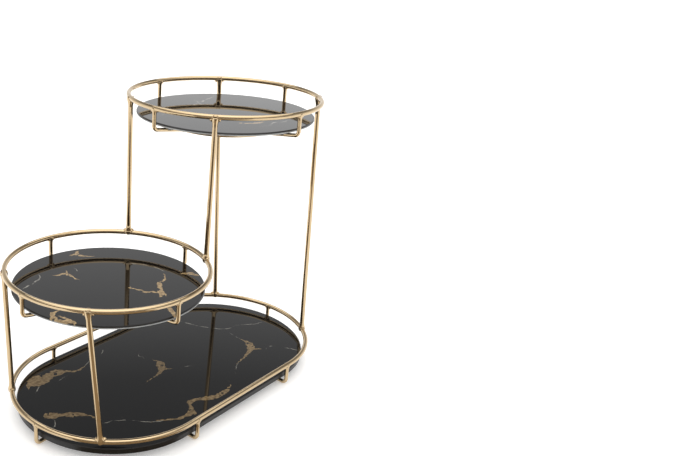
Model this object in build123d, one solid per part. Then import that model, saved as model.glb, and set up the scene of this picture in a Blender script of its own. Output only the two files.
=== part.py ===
from build123d import *
import math
import os

# A three-tier stand: a bent-wire frame that carries three loose glass trays.
# Millimetres, +Z up. The low tier is a long stadium, the middle tier is a disc over its left
# end (-X) and the top tier is a disc over its right end (+X). Heights are given from the plane
# that the feet stand on. The origin is the bottom centre of the whole stand's box.

# --- wire sizes ---
RAIL_D = 5.0            # rails that run round each tray
POST_D = 5.0            # the six uprights
HOOK_D = 4.0            # J-hooks and support rings

# --- low tier ---
BASE_R = 100.0          # rail centreline radius at each end
BASE_HALF = 79.5        # end centres stand at x = +/- this
BASE_RAIL_Z = 23.0      # rail centreline height

# --- middle and top tiers: rail centreline radius, centre in x, height ---
MIDDLE_R, MIDDLE_X, MIDDLE_RAIL_Z = 96.0, -90.5, 151.3
TOP_R, TOP_X, TOP_RAIL_Z = 98.0, 72.5, 292.7

# --- trays: outline radius, centre in x, thickness, depth of the underside below the rail ---
BASE_TRAY_R, BASE_TRAY_T, BASE_TRAY_DROP = 96.0, 6.0, 15.9
ROUND_TRAY_R, ROUND_TRAY_T, ROUND_TRAY_DROP = 91.0, 3.0, 19.3
MIDDLE_TRAY_X, TOP_TRAY_X = -89.3, 74.2
TRAY_ARRIS = 0.7        # ground edge of the glass

# --- J-hooks: they hang under the rail's centreline and turn in under the tray ---
HOOK_DROP = 21.0        # centreline of the turn below the rail's centreline
HOOK_BEND_R = 4.5
BASE_HOOK_REACH, BASE_HOOK_RISE = 30.0, 1.5
SUPPORT_R = 58.0        # ring that ties the inner ends of the round tiers' hooks
SUPPORT_DROP = 26.6
BASE_HOOK_X = {"front": (-69.5, 75.5), "back": (-72.0, 68.5)}
MIDDLE_HOOK_ANGLES = {"right": -8.0, "back": 83.0, "left": 175.0, "front": -95.0}
TOP_HOOK_ANGLES = {"right": -4.0, "back": 85.0, "left": 176.0, "front": -95.0}

# --- posts: angle round each rail's own centre at the lower and the upper end ---
LEFT_POST_ANGLES = (141.7, 144.3)
UPPER_POST_ANGLES = (33.1, 146.4)
RIGHT_POST_ANGLES = (39.5, 42.1)

# --- coped ends: a wire end swells, is notched over the rail and laps past its centreline ---
POST_FLARE = (9.0, 3.6, 1.9)      # start of the swelling, its radius at the rail, lap
HOOK_FLARE = (6.0, 2.9, 1.3)
TIP_SHARE = 0.8                   # radius of the blunt tip, as a share of the swelling's

# --- clear pads between the hooks and the glass ---
PAD_R = 4.0
PAD_ARRIS = 0.6
PAD_INSET = 20.0        # from the rail's centreline inwards
PAD_GAP = 0.3           # what the resting glass clears the pad by

SIDES = {"front": -1, "back": 1}


def on_ring(centre_x, radius, degrees):
    """Point and outward direction on a rail's round stretch."""
    out = (math.cos(math.radians(degrees)), math.sin(math.radians(degrees)))
    return (centre_x + radius * out[0], radius * out[1]), out


def ring(radius, centre_x, z, wire_d):
    return Pos(centre_x, 0, z) * Torus(radius, wire_d / 2)


def base_rail():
    with BuildLine() as path:
        Line((-BASE_HALF, -BASE_R, 0), (BASE_HALF, -BASE_R, 0))
        ThreePointArc((BASE_HALF, -BASE_R, 0), (BASE_HALF + BASE_R, 0, 0), (BASE_HALF, BASE_R, 0))
        Line((BASE_HALF, BASE_R, 0), (-BASE_HALF, BASE_R, 0))
        ThreePointArc((-BASE_HALF, BASE_R, 0), (-BASE_HALF - BASE_R, 0, 0), (-BASE_HALF, -BASE_R, 0))
    section = Plane((-BASE_HALF, -BASE_R, 0), z_dir=(1, 0, 0)) * Circle(RAIL_D / 2)
    return Pos(0, 0, BASE_RAIL_Z) * sweep(section, path=path.wire())


def flared_end(tip, along, wire_d, flare):
    """Swollen wire end at tip; along points from the tip back into the wire."""
    start, swell_r, lap = flare
    wire_r = wire_d / 2
    tip_r = swell_r * TIP_SHARE
    with BuildSketch(Plane.XZ) as profile:
        with BuildLine():
            Polyline((wire_r, start), (0, start), (0, -lap), (tip_r, -lap))
            Spline((tip_r, -lap), (swell_r, 0), (wire_r, start), tangents=((1, 1), (0, 1)))
        make_face()
    solid = revolve(profile.sketch, axis=Axis.Z)
    return Plane(tip, z_dir=along).location * solid


def post(low, high, low_rail, high_rail):
    """Straight upright between two rail centreline points, coped over both rails."""
    low, high = Vector(*low), Vector(*high)
    along = (high - low).normalized()
    shaft = Plane(low, z_dir=along).location * Cylinder(
        POST_D / 2, (high - low).length, align=(Align.CENTER, Align.CENTER, Align.MIN))
    shaft += flared_end(low, along, POST_D, POST_FLARE)
    shaft += flared_end(high, -along, POST_D, POST_FLARE)
    return shaft - low_rail - high_rail


def hook(point, out, rail_z, reach, rise):
    """J-hook that hangs at point, with its foot turned inwards against out."""
    path = FilletPolyline((0, 0, 0), (0, 0, -HOOK_DROP), (-reach, 0, rise - HOOK_DROP), radius=HOOK_BEND_R)
    wire = sweep(Plane.XY * Circle(HOOK_D / 2), path=path)
    wire += flared_end((0, 0, 0), (0, 0, -1), HOOK_D, HOOK_FLARE)
    turn = math.degrees(math.atan2(out[1], out[0]))
    return Pos(point[0], point[1], rail_z) * Rot(0, 0, turn) * wire


def pad(point, out, rail_z, tray_drop, hook_solid):
    """Clear bumper moulded over a hook's foot, just under the glass."""
    x, y = point[0] - PAD_INSET * out[0], point[1] - PAD_INSET * out[1]
    top = rail_z - tray_drop - PAD_GAP
    blank = Pos(x, y, top) * Cylinder(PAD_R, HOOK_D, align=(Align.CENTER, Align.CENTER, Align.MAX))
    blank = chamfer(blank.edges().group_by(Axis.Z)[-1], PAD_ARRIS)
    return blank - hook_solid


def plate(sketch, underside_z, thickness):
    slab = extrude(sketch, thickness)
    slab = chamfer(slab.edges().group_by(Axis.Z)[0] + slab.edges().group_by(Axis.Z)[-1], TRAY_ARRIS)
    return Pos(0, 0, underside_z) * slab


def base_hook_places():
    places = {
        "left": ((-BASE_HALF - BASE_R, 0), (-1, 0)),
        "right": ((BASE_HALF + BASE_R, 0), (1, 0)),
    }
    for side, sign in SIDES.items():
        for end, x in zip(("left", "right"), BASE_HOOK_X[side]):
            places[side + "_" + end] = ((x, sign * BASE_R), (0, sign))
    return places


def add_rails(parts):
    parts["base_rail"] = base_rail()
    parts["middle_rail"] = ring(MIDDLE_R, MIDDLE_X, MIDDLE_RAIL_Z, RAIL_D)
    parts["top_rail"] = ring(TOP_R, TOP_X, TOP_RAIL_Z, RAIL_D)


def add_posts(parts):
    for side, sign in SIDES.items():
        left_low, _ = on_ring(-BASE_HALF, BASE_R, sign * LEFT_POST_ANGLES[0])
        left_high, _ = on_ring(MIDDLE_X, MIDDLE_R, sign * LEFT_POST_ANGLES[1])
        parts["left_post_" + side] = post(
            (*left_low, BASE_RAIL_Z), (*left_high, MIDDLE_RAIL_Z), parts["base_rail"], parts["middle_rail"])
        upper_low, _ = on_ring(MIDDLE_X, MIDDLE_R, sign * UPPER_POST_ANGLES[0])
        upper_high, _ = on_ring(TOP_X, TOP_R, sign * UPPER_POST_ANGLES[1])
        parts["upper_post_" + side] = post(
            (*upper_low, MIDDLE_RAIL_Z), (*upper_high, TOP_RAIL_Z), parts["middle_rail"], parts["top_rail"])
        right_low, _ = on_ring(BASE_HALF, BASE_R, sign * RIGHT_POST_ANGLES[0])
        right_high, _ = on_ring(TOP_X, TOP_R, sign * RIGHT_POST_ANGLES[1])
        parts["right_post_" + side] = post(
            (*right_low, BASE_RAIL_Z), (*right_high, TOP_RAIL_Z), parts["base_rail"], parts["top_rail"])


def add_base_hooks(parts):
    for name, (point, out) in base_hook_places().items():
        bent = hook(point, out, BASE_RAIL_Z, BASE_HOOK_REACH, BASE_HOOK_RISE) - parts["base_rail"]
        parts["base_hook_" + name] = bent
        parts["base_pad_" + name] = pad(point, out, BASE_RAIL_Z, BASE_TRAY_DROP, bent)


def add_round_tier_hooks(parts, tier, radius, centre_x, rail_z, angles):
    support = ring(SUPPORT_R, centre_x, rail_z - SUPPORT_DROP, HOOK_D)
    parts[tier + "_support_ring"] = support
    for name, degrees in angles.items():
        point, out = on_ring(centre_x, radius, degrees)
        bent = hook(point, out, rail_z, radius - SUPPORT_R, HOOK_DROP - SUPPORT_DROP)
        bent = bent - parts[tier + "_rail"] - support
        parts[tier + "_hook_" + name] = bent
        parts[tier + "_pad_" + name] = pad(point, out, rail_z, ROUND_TRAY_DROP, bent)


def add_trays(parts):
    stadium = SlotCenterToCenter(2 * BASE_HALF, 2 * BASE_TRAY_R)
    parts["base_tray"] = plate(stadium, BASE_RAIL_Z - BASE_TRAY_DROP, BASE_TRAY_T)
    middle = Pos(MIDDLE_TRAY_X, 0) * Circle(ROUND_TRAY_R)
    parts["middle_tray"] = plate(middle, MIDDLE_RAIL_Z - ROUND_TRAY_DROP, ROUND_TRAY_T)
    top = Pos(TOP_TRAY_X, 0) * Circle(ROUND_TRAY_R)
    parts["top_tray"] = plate(top, TOP_RAIL_Z - ROUND_TRAY_DROP, ROUND_TRAY_T)


def build_parts():
    parts = {}
    add_rails(parts)
    add_posts(parts)
    add_base_hooks(parts)
    add_round_tier_hooks(parts, "middle", MIDDLE_R, MIDDLE_X, MIDDLE_RAIL_Z, MIDDLE_HOOK_ANGLES)
    add_round_tier_hooks(parts, "top", TOP_R, TOP_X, TOP_RAIL_Z, TOP_HOOK_ANGLES)
    add_trays(parts)
    return parts


def main():
    os.makedirs("parts", exist_ok=True)
    parts = build_parts()
    box = Compound(children=[Compound(solid.solids()) for solid in parts.values()]).bounding_box()
    to_origin = Pos(-(box.min.X + box.max.X) / 2, -(box.min.Y + box.max.Y) / 2, -box.min.Z)
    for name, solid in parts.items():
        export_step(to_origin * solid, "parts/" + name + ".step")
    print(len(parts), "parts, moved by", to_origin.position, "size", box.size)


main()
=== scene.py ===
import bmesh
import bpy
import math
from mathutils import Matrix, Vector


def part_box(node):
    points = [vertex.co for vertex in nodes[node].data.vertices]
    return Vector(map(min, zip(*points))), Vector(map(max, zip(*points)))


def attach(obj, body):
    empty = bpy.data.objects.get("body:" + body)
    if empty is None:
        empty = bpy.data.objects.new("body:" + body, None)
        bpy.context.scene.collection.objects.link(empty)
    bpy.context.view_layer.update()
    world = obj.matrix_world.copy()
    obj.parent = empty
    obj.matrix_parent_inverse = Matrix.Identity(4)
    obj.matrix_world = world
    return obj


# A satin gold wire stand that carries three loose trays of black glass with a gold-veined marble
# print. Lengths are metres and angles degrees, unless a comment says millimetres.

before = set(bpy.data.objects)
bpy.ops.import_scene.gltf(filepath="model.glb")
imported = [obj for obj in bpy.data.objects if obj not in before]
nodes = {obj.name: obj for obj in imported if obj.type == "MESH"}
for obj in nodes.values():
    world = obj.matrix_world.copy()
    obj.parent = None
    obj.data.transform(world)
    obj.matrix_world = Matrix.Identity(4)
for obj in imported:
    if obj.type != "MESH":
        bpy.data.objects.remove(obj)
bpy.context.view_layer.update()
MM = 0.001

# ---------------------------------------------------------------- camera
CAMERA_AT = (-0.6200, -0.5421, 0.4722)
AZIMUTH, ELEVATION, ROLL = -49.08, 18.45, 2.22    # azimuth 0 looks along +Y
LENS, SENSOR = 46.43, 36.0                        # millimetres
SHIFT_X, SHIFT_Y = 0.2415, -0.0405                # the stand is left of the middle of the frame


def make_camera():
    data = bpy.data.cameras.new("camera")
    data.sensor_width = SENSOR
    data.lens = LENS
    data.shift_x = SHIFT_X
    data.shift_y = SHIFT_Y
    camera = bpy.data.objects.new("camera", data)
    bpy.context.scene.collection.objects.link(camera)
    az, el, roll = (math.radians(angle) for angle in (AZIMUTH, ELEVATION, ROLL))
    back = Vector((math.sin(az) * math.cos(el), -math.cos(az) * math.cos(el), math.sin(el)))
    level_right = Vector((math.cos(az), math.sin(az), 0))
    level_up = back.cross(level_right)
    right = math.cos(roll) * level_right + math.sin(roll) * level_up
    up = -math.sin(roll) * level_right + math.cos(roll) * level_up
    turn = Matrix((right, up, back)).transposed().to_4x4()
    camera.matrix_world = Matrix.Translation(CAMERA_AT) @ turn
    bpy.context.scene.camera = camera


# ---------------------------------------------------------------- stage and light
FLOOR_SIZE, FLOOR_DROP = 40.0, 0.0002
FLOOR_WHITE, FLOOR_ROUGH, FLOOR_GLOSS = (0.88, 0.88, 0.88, 1), 0.9, 0.1
FLOOR_GLOW = 0.30                       # the table is lit from below, which thins the shadows
SUN_STRENGTH, SUN_SPREAD = 1.9, 76.0
SUN_LEAN = (-8.0, 8.0)                  # away from the camera
# The flag's ends are a distance from the stand's middle and a half width. Its colour fades with
# that distance from near to far.
FLAG_HEIGHT = 0.0005
FLAG_ENDS = ((0.13, 0.06), (1.2, 0.90))
FLAG_FADE = (0.25, 0.60)
FLAG_NEAR, FLAG_FAR = (0.36, 0.29, 0.21), (0.15, 0.12, 0.09)
# The sky's heights run from the horizon (0) to straight overhead (1), and its sides from square
# across the view (0) to straight behind the camera (1). SKY pairs a height with a brightness.
SKY = ((0.0, 1.05), (0.20, 1.0), (0.43, 0.60), (0.50, 0.34), (0.65, 0.24), (1.0, 0.24))
ROOM_SIDE = (-0.05, 0.40)               # the sides between which the room fades in
ROOM_FROM, ROOM_TO = (-0.04, 0.02), (0.40, 0.48)    # the heights where it fades in and out
ROOM_LEVEL = (0.15, 0.125, 0.10)
SOFTBOX_LEVEL = (1.5, 1.47, 1.42)
WHITE = (1.0, 1.0, 1.0)                 # what the camera itself sees of the sky


def make_floor():
    bpy.ops.mesh.primitive_plane_add(size=FLOOR_SIZE, location=(0, 0, -FLOOR_DROP))
    floor = bpy.context.object
    floor.name = "floor"
    material, _, _ = new_material("floor", {
        "Base Color": FLOOR_WHITE, "Roughness": FLOOR_ROUGH, "Specular IOR Level": FLOOR_GLOSS,
        "Emission Color": (*WHITE, 1), "Emission Strength": FLOOR_GLOW})
    show_only(floor, material)


def camera_side():
    """The level directions from the stand towards the camera and to the camera's right."""
    az = math.radians(AZIMUTH)
    return Vector((math.sin(az), -math.cos(az), 0)), Vector((math.cos(az), math.sin(az), 0))


def make_flag():
    """A dark cloth on the floor in front of the stand that only reflections see."""
    towards, aside = camera_side()
    corners = [towards * reach + aside * side * half + Vector((0, 0, FLAG_HEIGHT))
               for reach, half in FLAG_ENDS for side in (-1, 1)]
    mesh = bpy.data.meshes.new("flag")
    mesh.from_pydata(corners, [], [(0, 1, 3, 2)])
    flag = bpy.data.objects.new("flag", mesh)
    bpy.context.scene.collection.objects.link(flag)
    flag.visible_camera = False
    flag.visible_diffuse = False
    flag.visible_shadow = False
    flag.visible_transmission = False
    material, tree, shader = new_material("flag", {"Roughness": 1.0, "Specular IOR Level": 0.0})
    place = add(tree, "TexCoord").outputs["Object"]
    reach = add(tree, "VectorMath", links={0: place}, operation="LENGTH").outputs["Value"]
    colour = mix(tree, spread(tree, reach, *FLAG_FADE), FLAG_NEAR, FLAG_FAR)
    tree.links.new(colour, shader.inputs["Base Color"])
    show_only(flag, material)


def make_sun():
    data = bpy.data.lights.new("overhead", "SUN")
    data.energy = SUN_STRENGTH
    data.angle = math.radians(SUN_SPREAD)
    sun = bpy.data.objects.new("overhead", data)
    bpy.context.scene.collection.objects.link(sun)
    sun.rotation_euler = [math.radians(angle) for angle in (*SUN_LEAN, 0)]


def sky_brightness(tree, height):
    ramp = add(tree, "ValToRGB", links={"Fac": height})
    elements = ramp.color_ramp.elements
    while len(elements) < len(SKY):
        elements.new(0.5)
    for element, (position, level) in zip(elements, SKY):
        element.position = position
        element.color = (level, level, level, 1)
    return ramp.outputs[0]


def make_world():
    """A bright studio, dimmer overhead. On the camera's side a soft box hangs over unlit room."""
    world = bpy.data.worlds.new("studio")
    bpy.context.scene.world = world
    world.use_nodes = True
    tree = world.node_tree
    tree.nodes.clear()
    place = add(tree, "TexCoord").outputs["Generated"]
    height = add(tree, "SeparateXYZ", links={0: place}).outputs["Z"]
    towards, _ = camera_side()
    facing = add(tree, "VectorMath", {1: towards}, {0: place}, operation="DOT_PRODUCT").outputs["Value"]
    side = spread(tree, facing, *ROOM_SIDE, smooth=True)
    above = spread(tree, height, *ROOM_TO, smooth=True)
    band = maths(tree, "SUBTRACT", spread(tree, height, *ROOM_FROM, smooth=True), above)
    room = maths(tree, "MULTIPLY", side, band)
    softbox = maths(tree, "MULTIPLY", side, above)
    lit = mix(tree, softbox, sky_brightness(tree, height), SOFTBOX_LEVEL)
    lit = mix(tree, room, lit, ROOM_LEVEL)
    path = add(tree, "LightPath")
    seen = mix(tree, path.outputs["Is Camera Ray"], lit, WHITE)
    sky = add(tree, "Background", links={"Color": seen})
    output = tree.nodes.new("ShaderNodeOutputWorld")
    tree.links.new(sky.outputs[0], output.inputs[0])


# ---------------------------------------------------------------- node helpers
def new_material(name, values):
    """A material of one Principled shader, with these values on the shader's own sockets."""
    material = bpy.data.materials.new(name)
    material.use_nodes = True
    tree = material.node_tree
    tree.nodes.clear()
    output = tree.nodes.new("ShaderNodeOutputMaterial")
    shader = tree.nodes.new("ShaderNodeBsdfPrincipled")
    tree.links.new(shader.outputs[0], output.inputs[0])
    for key, value in values.items():
        shader.inputs[key].default_value = value
    return material, tree, shader


def add(tree, kind, values=None, links=None, **settings):
    """Adds a node, sets its settings and input values, and links other outputs into it."""
    node = tree.nodes.new("ShaderNode" + kind)
    for key, value in settings.items():
        setattr(node, key, value)
    for key, value in (values or {}).items():
        node.inputs[key].default_value = value
    for key, socket in (links or {}).items():
        tree.links.new(socket, node.inputs[key])
    return node


def maths(tree, operation, *operands):
    """A Math node. Each operand is a number or another node's output."""
    node = add(tree, "Math", operation=operation)
    for index, operand in enumerate(operands):
        if isinstance(operand, (int, float)):
            node.inputs[index].default_value = operand
        else:
            tree.links.new(operand, node.inputs[index])
    return node.outputs[0]


def noise(tree, place, scale, detail=3.0, output="Fac"):
    node = add(tree, "TexNoise", {"Scale": scale, "Detail": detail}, {"Vector": place})
    return node.outputs[output]


def spread(tree, value, low, high, to_low=0.0, to_high=1.0, smooth=False):
    """Maps low..high to to_low..to_high and holds the ends."""
    ends = {"From Min": low, "From Max": high, "To Min": to_low, "To Max": to_high}
    kind = "SMOOTHSTEP" if smooth else "LINEAR"
    return add(tree, "MapRange", ends, {"Value": value}, interpolation_type=kind).outputs[0]


def mix(tree, factor, first, second):
    """Mixes two colours. Each is a tuple or another node's output."""
    node = add(tree, "MixRGB", links={"Fac": factor})
    for key, colour in (("Color1", first), ("Color2", second)):
        if isinstance(colour, tuple):
            node.inputs[key].default_value = (*colour, 1)
        else:
            tree.links.new(colour, node.inputs[key])
    return node.outputs[0]


def show_only(obj, material):
    obj.data.materials.clear()
    obj.data.materials.append(material)


# ---------------------------------------------------------------- gold wire
GOLD_DEEP, GOLD_PALE = (0.53, 0.395, 0.232), (0.605, 0.47, 0.297)
GOLD_ROUGH = (0.06, 0.12)
CLOUD_SCALE = 55.0                      # the slow change of colour and gloss along the wires
GRAIN_SCALE, GRAIN_DETAIL = 2600.0, 2.0
GRAIN_BUMP = {"Strength": 0.05, "Distance": 0.1 * MM}
NOISE_MOST = (0.3, 0.7)                 # the range that most of a noise's values fall in


def gold_wire():
    material, tree, shader = new_material("gold_wire", {"Metallic": 1.0})
    place = add(tree, "TexCoord").outputs["Object"]
    cloud = noise(tree, place, CLOUD_SCALE)
    grain = noise(tree, place, GRAIN_SCALE, GRAIN_DETAIL)
    bump = add(tree, "Bump", GRAIN_BUMP, {"Height": grain})
    tree.links.new(mix(tree, cloud, GOLD_DEEP, GOLD_PALE), shader.inputs["Base Color"])
    tree.links.new(spread(tree, cloud, *NOISE_MOST, *GOLD_ROUGH), shader.inputs["Roughness"])
    tree.links.new(bump.outputs[0], shader.inputs["Normal"])
    return material


# ---------------------------------------------------------------- weld beads
# A bead is a lumpy ring round a wire's end, laid over the rail that the end is welded to. Each
# size is the ring's reach along the rail and across it, then its own radius at both, millimetres.
POST_BEAD = (3.7, 2.9, 1.7, 0.45)
HOOK_BEAD = (2.9, 2.3, 1.25, 0.4)
FOOT_BEAD = (2.4, 2.1, 0.9, 0.4)
RAIL_RADIUS, SUPPORT_RADIUS = 2.5, 2.0  # millimetres
BEAD_STEPS, BEAD_SIDES = 40, 12
LUMPS = ((3, 1, 0.12), (7, 2, 0.08))    # how many in a turn, share of the phase, height
OTHER_END = 0.5                         # added to the phase at a wire's other end
END_ZONE = 3.5                          # an end's vertices lie this near to its rail's height, mm
POST_RAILS = {                          # the rails at each kind of post's lower and upper end
    "left": ("base_rail", "middle_rail"),
    "upper": ("middle_rail", "top_rail"),
    "right": ("base_rail", "top_rail"),
}


def on_rail(rail, spot):
    """The nearest point of a rail's centreline to a spot, and the way out of the ring there."""
    low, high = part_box(rail)
    wire = (high.z - low.z) / 2
    radius = (high.y - low.y) / 2 - wire
    middle = (low + high) / 2
    half = (high.x - low.x - high.y + low.y) / 2
    along = min(max(spot.x - middle.x, -half), half)
    centre = Vector((middle.x + along, middle.y, middle.z))
    out = Vector((spot.x - centre.x, spot.y - centre.y, 0)).normalized()
    return centre + radius * out, out


def end_on(rail, name):
    """Where a wire's centreline meets a rail, found from the vertices of its end."""
    low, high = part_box(rail)
    height = (low.z + high.z) / 2
    near = [v.co for v in nodes[name].data.vertices if abs(v.co.z - height) < END_ZONE * MM]
    return on_rail(rail, sum(near, Vector()) / len(near))


def circle(builder, middle, radius, first, second):
    """Adds a circle of vertices in the plane of two directions."""
    turns = [2 * math.pi * step / BEAD_SIDES for step in range(BEAD_SIDES)]
    return [builder.verts.new(middle + radius * (first * math.cos(turn) + second * math.sin(turn)))
            for turn in turns]


def bead(builder, spot, out, away, size, rail_radius, phase):
    """Adds one bead at a wire's end; away points from the rail into the wire."""
    reach, across, fat, thin = (value * MM for value in size)
    along = Vector((-out.y, out.x, 0))
    along = (along - along.dot(away) * away).normalized()
    side = away.cross(along)
    rings = []
    for step in range(BEAD_STEPS):
        turn = 2 * math.pi * step / BEAD_STEPS
        over = across * math.sin(turn)
        depth = math.sqrt(max(0.0, (rail_radius * MM) ** 2 - over ** 2))
        middle = spot + along * reach * math.cos(turn) + side * over + away * depth
        lumps = (height * math.sin(count * turn + share * phase) for count, share, height in LUMPS)
        lump = sum(lumps, 1.0)
        radius = (thin + (fat - thin) * math.cos(turn) ** 2) * lump
        outward = along * math.cos(turn) + side * math.sin(turn)
        rings.append(circle(builder, middle, radius, outward, away))
    for ring, following in zip(rings, rings[1:] + rings[:1]):
        for k in range(BEAD_SIDES):
            after = (k + 1) % BEAD_SIDES
            builder.faces.new((ring[k], following[k], following[after], ring[after]))


def finish_beads(name, builder, wire):
    bmesh.ops.recalc_face_normals(builder, faces=builder.faces)
    mesh = bpy.data.meshes.new(name)
    builder.to_mesh(mesh)
    builder.free()
    mesh.shade_smooth()
    piece = bpy.data.objects.new(name, mesh)
    bpy.context.scene.collection.objects.link(piece)
    show_only(piece, wire)
    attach(piece, "frame")


def names_with(word):
    return sorted(name for name in nodes if word in name)


def make_post_beads(wire):
    builder = bmesh.new()
    for phase, name in enumerate(names_with("_post_")):
        low_rail, high_rail = POST_RAILS[name.split("_")[0]]
        low, low_out = end_on(low_rail, name)
        high, high_out = end_on(high_rail, name)
        up = (high - low).normalized()
        bead(builder, low, low_out, up, POST_BEAD, RAIL_RADIUS, phase)
        bead(builder, high, high_out, -up, POST_BEAD, RAIL_RADIUS, phase + OTHER_END)
    finish_beads("post_welds", builder, wire)


def make_hook_beads(wire):
    down = Vector((0, 0, -1))
    builder = bmesh.new()
    for phase, name in enumerate(names_with("_hook_")):
        tier = name.split("_")[0]
        top, out = end_on(tier + "_rail", name)
        bead(builder, top, out, down, HOOK_BEAD, RAIL_RADIUS, phase)
        if tier != "base":
            foot, inner_out = on_rail(tier + "_support_ring", top)
            bead(builder, foot, inner_out, inner_out, FOOT_BEAD, SUPPORT_RADIUS, phase + OTHER_END)
    finish_beads("hook_welds", builder, wire)


# ---------------------------------------------------------------- clear pads
PAD_LOOK = {"Base Color": (0.92, 0.94, 0.95, 1), "Transmission Weight": 0.9, "IOR": 1.45}
PAD_HAZE, PAD_ROUGH = 900.0, (0.08, 0.2)


def clear_pad():
    material, tree, shader = new_material("clear_pad", PAD_LOOK)
    place = add(tree, "TexCoord").outputs["Object"]
    haze = noise(tree, place, PAD_HAZE)
    tree.links.new(spread(tree, haze, *NOISE_MOST, *PAD_ROUGH), shader.inputs["Roughness"])
    return material


# ---------------------------------------------------------------- marble print
# A vein is a run of (x, y, half width) in millimetres from its tray's middle. It is drawn as
# a height over the straight line from its first point to its last, so it never doubles back.
BASE_GOLD = (
    ((-136, 64, 0), (-130, 70, 5), (-121, 71, 9), (-113, 71, 9.5), (-107, 70, 6), (-102, 71, 5.5),
     (-93, 70, 6.5), (-88, 68, 3.5), (-83, 62, 2.2), (-78, 58, 1.8), (-72, 58, 1), (-61, 60, 0)),
    ((-157, 18, 0), (-152, 13, 4.8), (-148, 9, 4.4), (-143, 6, 2.6), (-137, 1, 3.8), (-131, -5, 3.4),
     (-127, -11, 1.6), (-125, -17, 1), (-124, -26, 0)),
    ((-93, -62, 0), (-85, -66, 1), (-75, -73, 1.6), (-65, -78, 1.8), (-55, -79, 3.2), (-49, -76, 4),
     (-44, -70, 3.4), (-39, -65, 3), (-33, -66, 2.2), (-27, -70, 2.4), (-19, -74, 3.4), (-9, -77, 3.2),
     (1, -77, 2.2), (8, -76, 1.2), (19, -67, 0)),
    ((-45, -9, 0), (-33, -7, 0.8), (-23, -6, 1.3), (-16, -3.5, 2.2), (-11, 0, 3.6), (-6, 5, 4.4),
     (-2, 10, 4), (-3, 15, 2), (-4, 20, 0)),
    ((51, -51, 0), (65, -48, 0.8), (77, -45.5, 1.4), (87, -43, 2.4), (94, -39, 3.8), (99, -34, 4.4),
     (103, -28, 3.8), (102, -23, 1.8), (101, -17, 0)),
    ((-15, -2, 0), (-10, -3, 1.6), (-6, -6, 1), (-2, -10, 0)),
    ((89, -41, 0), (94, -43, 1.7), (98, -47, 1), (100, -50, 0)),
)
BASE_HAIR = (
    ((-165, -3, 0), (-159, -3, 0.5), (-155, 2, 0.5), (-153, 8, 0.4), (-152, 12, 0)),
    ((-127, -30, 0), (-121, -34, 0.6), (-115, -36, 0.3), (-107, -43, 0.5), (-101, -50, 0.4),
     (-96, -58, 0.5), (-89, -64, 0.6), (-79, -70, 0)),
    ((85, 62, 0), (88, 52, 0.5), (91, 42, 0.8), (94, 34, 0.5), (98, 26, 0.5), (103, 17, 0.6),
     (109, 10, 0.6), (115, 6.5, 0.6), (123, 6.5, 0.5), (133, 2, 0.4), (143, -6, 0.5), (155, -10, 0)),
    ((105, 0, 0), (104, -5, 0.4), (103, -12, 0.5), (102, -18, 0)),
    ((37, -62, 0), (43, -58, 0.3), (49, -54, 0.4), (57, -50, 0)),
    ((-65, 60, 0), (-59, 62, 0.4), (-53, 65, 0.4), (-47, 70, 0)),
    ((-35, 66, 0), (-30, 69, 0.5), (-25, 73, 0)),
    ((-9, 26, 0), (-7, 30, 0.5), (-9, 34, 0.4), (-4, 38, 0)),
    ((121, -66, 0), (124, -72, 0.6), (127, -80, 0)),
    ((-137, 52, 0), (-134, 55, 0.7), (-129, 59, 0.6), (-124, 61, 0)),
    ((-104, 55, 0), (-99, 57, 0.8), (-95, 58, 0.6), (-91, 57, 0)),
    ((5, -14, 0), (11, -16, 0.4), (17, -20, 0)),
    ((103, -54, 0), (109, -52, 0.5), (115, -55, 0)),
)
MIDDLE_GOLD = (
    ((17, 75, 0), (22, 75, 1.2), (27, 75, 2.6), (30, 77, 2.4), (34, 80, 0)),
    ((27, 77, 0), (26, 70, 2.2), (28, 66, 1.6), (31, 62, 1.1), (36, 57, 0)),
    ((-90, -22, 0), (-85, -17, 2.2), (-81, -14, 2.4), (-75, -13, 1.6), (-72, -14, 0)),
    ((-88, -27, 0), (-86, -23, 2), (-84, -19, 1.4), (-81, -15, 0)),
    ((-88, -22, 0), (-85, -29, 2.4), (-82, -33, 2.6), (-80, -38, 2), (-79, -44, 0)),
    ((-81, -20, 0), (-79, -26, 1.4), (-79, -31, 1.6), (-78, -36, 0)),
    ((64, -30, 0), (69, -34, 1.8), (73, -39, 2.8), (75, -45, 2), (77, -52, 0)),
    ((6, -69, 0), (2, -75, 1.5), (-3, -82, 2), (-7, -90, 1.5), (-10, -98, 0)),
    ((11, -58, 0), (14, -55, 1.4), (19, -50, 2.6), (25, -43, 1.8), (31, -36, 2.1), (37, -32, 1.7),
     (42, -32, 1.4), (48, -28, 0.8), (54, -21, 0)),
    ((6, -20, 0), (7, -24, 1.0), (8, -28, 0.9), (9, -33, 1.1), (10, -39, 1.5), (14, -42, 1.1),
     (16, -46, 1.3), (19, -52, 1.5), (18, -58, 0)),
    ((-28, 50, 0), (-24, 48, 1), (-20, 46, 1.6), (-16, 43, 2), (-15, 37, 1.5), (-16, 31, 1.1),
     (-16, 22, 0)),
    ((-17, 42, 0), (-13, 45, 1), (-9, 50, 0)),
)
MIDDLE_HAIR = (
    ((-71, 43, 0), (-62, 46, 0.8), (-54, 47, 0.8), (-45, 50, 0.8), (-38, 55, 0.7), (-35, 60, 0)),
    ((44, 22, 0), (50, 16, 0.5), (56, 9, 0.6), (59, 0, 0.5), (59, -10, 0.5), (57, -20, 0)),
    ((-2, 54, 0), (0, 50, 0.4), (-1, 44, 0.4), (-3, 40, 0)),
)
TOP_GOLD = (
    ((-6, -54, 0), (-12, -53, 1.6), (-19, -51, 2), (-25, -46, 1.4), (-30, -38, 0)),
)
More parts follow.
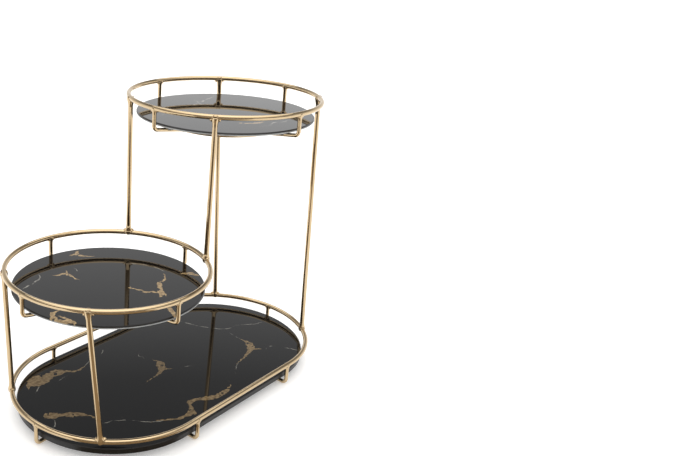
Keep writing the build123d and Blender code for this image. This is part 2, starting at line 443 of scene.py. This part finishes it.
TOP_HAIR = (
    ((-4, 40, 0), (4, 43, 0.9), (14, 45, 1), (27, 50, 0.8), (40, 53, 0.6), (56, 60, 0)),
    ((6, 36, 0), (9, 43, 0.9), (16, 52, 0.7), (20, 60, 0)),
    ((-66, 30, 0), (-54, 34, 0.5), (-42, 32, 0.5), (-32, 38, 0)),
    ((-26, -60, 0), (-14, -66, 0.6), (0, -62, 0.7), (10, -66, 0.5), (20, -60, 0)),
)
GOLD_LEAF, GOLD_LEAF_DARK = (0.27, 0.19, 0.095), (0.13, 0.085, 0.04)
HAIR_GREY = (0.25, 0.24, 0.215)
GLASS_BLACK = (0.0035, 0.0035, 0.004)
EDGE_GREY, UNDER_BLACK = (0.34, 0.35, 0.35), (0.012, 0.012, 0.013)
# A thin tray's edge is black like its print, then the grey of clear ground glass. These are the
# depths below the top face, in millimetres, where that turn starts, and how much it takes.
CLEAR_FROM, ALL_BLACK = 1.4, 10.0
CLEAR_FADE = 0.4
# Each sway and rag is a noise's scale, how far it pushes an edge about, and for some its detail.
VEIN_SWAY, VEIN_RAG = (45.0, 2.0 * MM), (230.0, 2.8 * MM, 6.0)
HAIR_SWAY, HAIR_RAG = (60.0, 1.8 * MM), (320.0, 1.0 * MM)
VEIN_EDGE, HAIR_EDGE = 0.15 * MM, 0.25 * MM     # half the width over which an edge fades
HOLE_SCALE, HOLE_DETAIL, HOLE_RANGE, HOLE_DEPTH = 150.0, 2.0, (0.60, 0.66), 9 * MM
GAP_SCALE, GAP_RANGE = 110.0, (0.40, 0.56)      # where the hairlines break off
LEAF_SCALE, LEAF_DETAIL, LEAF_RANGE = 330.0, 5.0, (0.35, 0.62)
SMUDGE_SCALE, SMUDGE_DETAIL, SMUDGE_RANGE = 22.0, 5.0, (0.35, 0.75)
FACE_ROUGH, EDGE_ROUGH = (0.015, 0.05), 0.40
FACE_TILT = (0.9, 0.6)                  # the normal's height where a face turns into an edge
UNDER_TILT = (-0.80, -0.90)             # and where an edge turns into the underside
GLASS_IOR = 1.5
VEIN_MARGIN = 1                         # kept free above and below a vein's curve, mm


def curve_node(tree, points, along):
    """A curve through (0 to 1, 0 to 1) points."""
    node = add(tree, "FloatCurve", links={"Value": along})
    curve = node.mapping.curves[0]
    while len(curve.points) < len(points):
        curve.points.new(0.5, 0.5)
    for point, place in zip(curve.points, points):
        point.location = place
        point.handle_type = "AUTO_CLAMPED"
    node.mapping.update()
    return node.outputs[0]


def vein(tree, place, points):
    """How far inside one vein a point is, in metres; below zero it is outside."""
    first, last = points[0], points[-1]
    angle = math.atan2(last[1] - first[1], last[0] - first[0])
    turned = [(x * math.cos(angle) + y * math.sin(angle), y * math.cos(angle) - x * math.sin(angle), w)
              for x, y, w in points]
    runs, heights, widths = zip(*turned)
    start, end, widest = runs[0], runs[-1], max(widths)
    floor = min(heights) - VEIN_MARGIN
    rise = max(heights) + VEIN_MARGIN - floor
    shift = (-start * MM, -floor * MM, 0)
    local = add(tree, "Mapping", {"Location": shift, "Rotation": (0, 0, -angle)}, {"Vector": place})
    split = add(tree, "SeparateXYZ", links={0: local.outputs[0]})
    along = maths(tree, "DIVIDE", split.outputs["X"], (end - start) * MM)
    shares = [(run - start) / (end - start) for run in runs]
    middle = curve_node(tree, list(zip(shares, ((h - floor) / rise for h in heights))), along)
    width = curve_node(tree, list(zip(shares, (w / widest for w in widths))), along)
    off = maths(tree, "ABSOLUTE", maths(tree, "MULTIPLY_ADD", middle, -rise * MM, split.outputs["Y"]))
    return maths(tree, "SUBTRACT", maths(tree, "MULTIPLY", width, widest * MM), off)


def deepest(tree, place, veins):
    """How far inside any of the veins a point is."""
    found = vein(tree, place, veins[0])
    for points in veins[1:]:
        found = maths(tree, "MAXIMUM", found, vein(tree, place, points))
    return found


def wander(tree, place, scale, reach, detail=3.0):
    """place, pushed about by noise, so that an edge drawn from it is ragged."""
    colour = noise(tree, place, scale, detail, "Color")
    push = add(tree, "VectorMath", {1: (0.5, 0.5, 0.5)}, {0: colour}, operation="SUBTRACT")
    moved = add(tree, "VectorMath", {1: (2 * reach,) * 3}, {0: push.outputs[0], 2: place},
                operation="MULTIPLY_ADD")
    return moved.outputs[0]


def marble_print(tree, place, leaf_light, gold_veins, hair_veins):
    """Colour of the print: black, with broken grey hairlines under veins of worn gold leaf."""
    pale, dark = (tuple(leaf_light * c for c in colour) for colour in (GOLD_LEAF, GOLD_LEAF_DARK))
    ragged = wander(tree, wander(tree, place, *VEIN_SWAY), *VEIN_RAG)
    inside = deepest(tree, ragged, gold_veins)
    holes = spread(tree, noise(tree, place, HOLE_SCALE, HOLE_DETAIL), *HOLE_RANGE, 0, HOLE_DEPTH)
    gold = spread(tree, maths(tree, "SUBTRACT", inside, holes), -VEIN_EDGE, VEIN_EDGE, smooth=True)
    bent = wander(tree, wander(tree, place, *HAIR_SWAY), *HAIR_RAG)
    hair = spread(tree, deepest(tree, bent, hair_veins), -HAIR_EDGE, HAIR_EDGE, smooth=True)
    unbroken = spread(tree, noise(tree, place, GAP_SCALE), *GAP_RANGE)
    worn = spread(tree, noise(tree, place, LEAF_SCALE, LEAF_DETAIL), *LEAF_RANGE)
    under = mix(tree, maths(tree, "MULTIPLY", hair, unbroken), GLASS_BLACK, HAIR_GREY)
    return mix(tree, gold, under, mix(tree, worn, dark, pale))


def marble_glass(name, middle, edge_depth, *printed):
    """Printed gloss glass with a satin edge and a smooth near-black underside."""
    material, tree, shader = new_material(name, {"IOR": GLASS_IOR})
    place = add(tree, "TexCoord").outputs["Object"]
    centred = add(tree, "Mapping", {"Location": -middle}, {"Vector": place}).outputs[0]
    normal = add(tree, "NewGeometry").outputs["Normal"]
    tilt = add(tree, "SeparateXYZ", links={0: normal}).outputs["Z"]
    depth = add(tree, "SeparateXYZ", links={0: centred}).outputs["Z"]
    clear = spread(tree, depth, -edge_depth * MM, -(edge_depth + CLEAR_FADE) * MM)
    colour = mix(tree, clear, marble_print(tree, centred, *printed), EDGE_GREY)
    colour = mix(tree, spread(tree, tilt, *UNDER_TILT), colour, UNDER_BLACK)
    tree.links.new(colour, shader.inputs["Base Color"])
    smudge = spread(tree, noise(tree, centred, SMUDGE_SCALE, SMUDGE_DETAIL), *SMUDGE_RANGE, *FACE_ROUGH)
    satin = spread(tree, maths(tree, "ABSOLUTE", tilt), *FACE_TILT, 0, EDGE_ROUGH)
    tree.links.new(maths(tree, "ADD", smudge, satin), shader.inputs["Roughness"])
    return material


# How deep each tray's edge is black, how light its gold is, and its two sets of veins.
PRINTS = {
    "base_tray": (ALL_BLACK, 1.0, BASE_GOLD, BASE_HAIR),
    "middle_tray": (CLEAR_FROM, 1.6, MIDDLE_GOLD, MIDDLE_HAIR),
    "top_tray": (CLEAR_FROM, 1.5, TOP_GOLD, TOP_HAIR),
}


def dress_cad():
    wire, pad = gold_wire(), clear_pad()
    for name, node in nodes.items():
        if name in PRINTS:
            low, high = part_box(name)
            middle = Vector(((low.x + high.x) / 2, (low.y + high.y) / 2, high.z))
            show_only(node, marble_glass("marble_" + name, middle, *PRINTS[name]))
        elif "_pad_" in name:
            show_only(node, pad)
        else:
            show_only(node, wire)
    make_post_beads(wire)
    make_hook_beads(wire)


bpy.context.scene.view_settings.view_transform = "Standard"
bpy.context.scene.view_settings.look = "None"
make_camera()
make_floor()
make_flag()
make_sun()
make_world()
dress_cad()
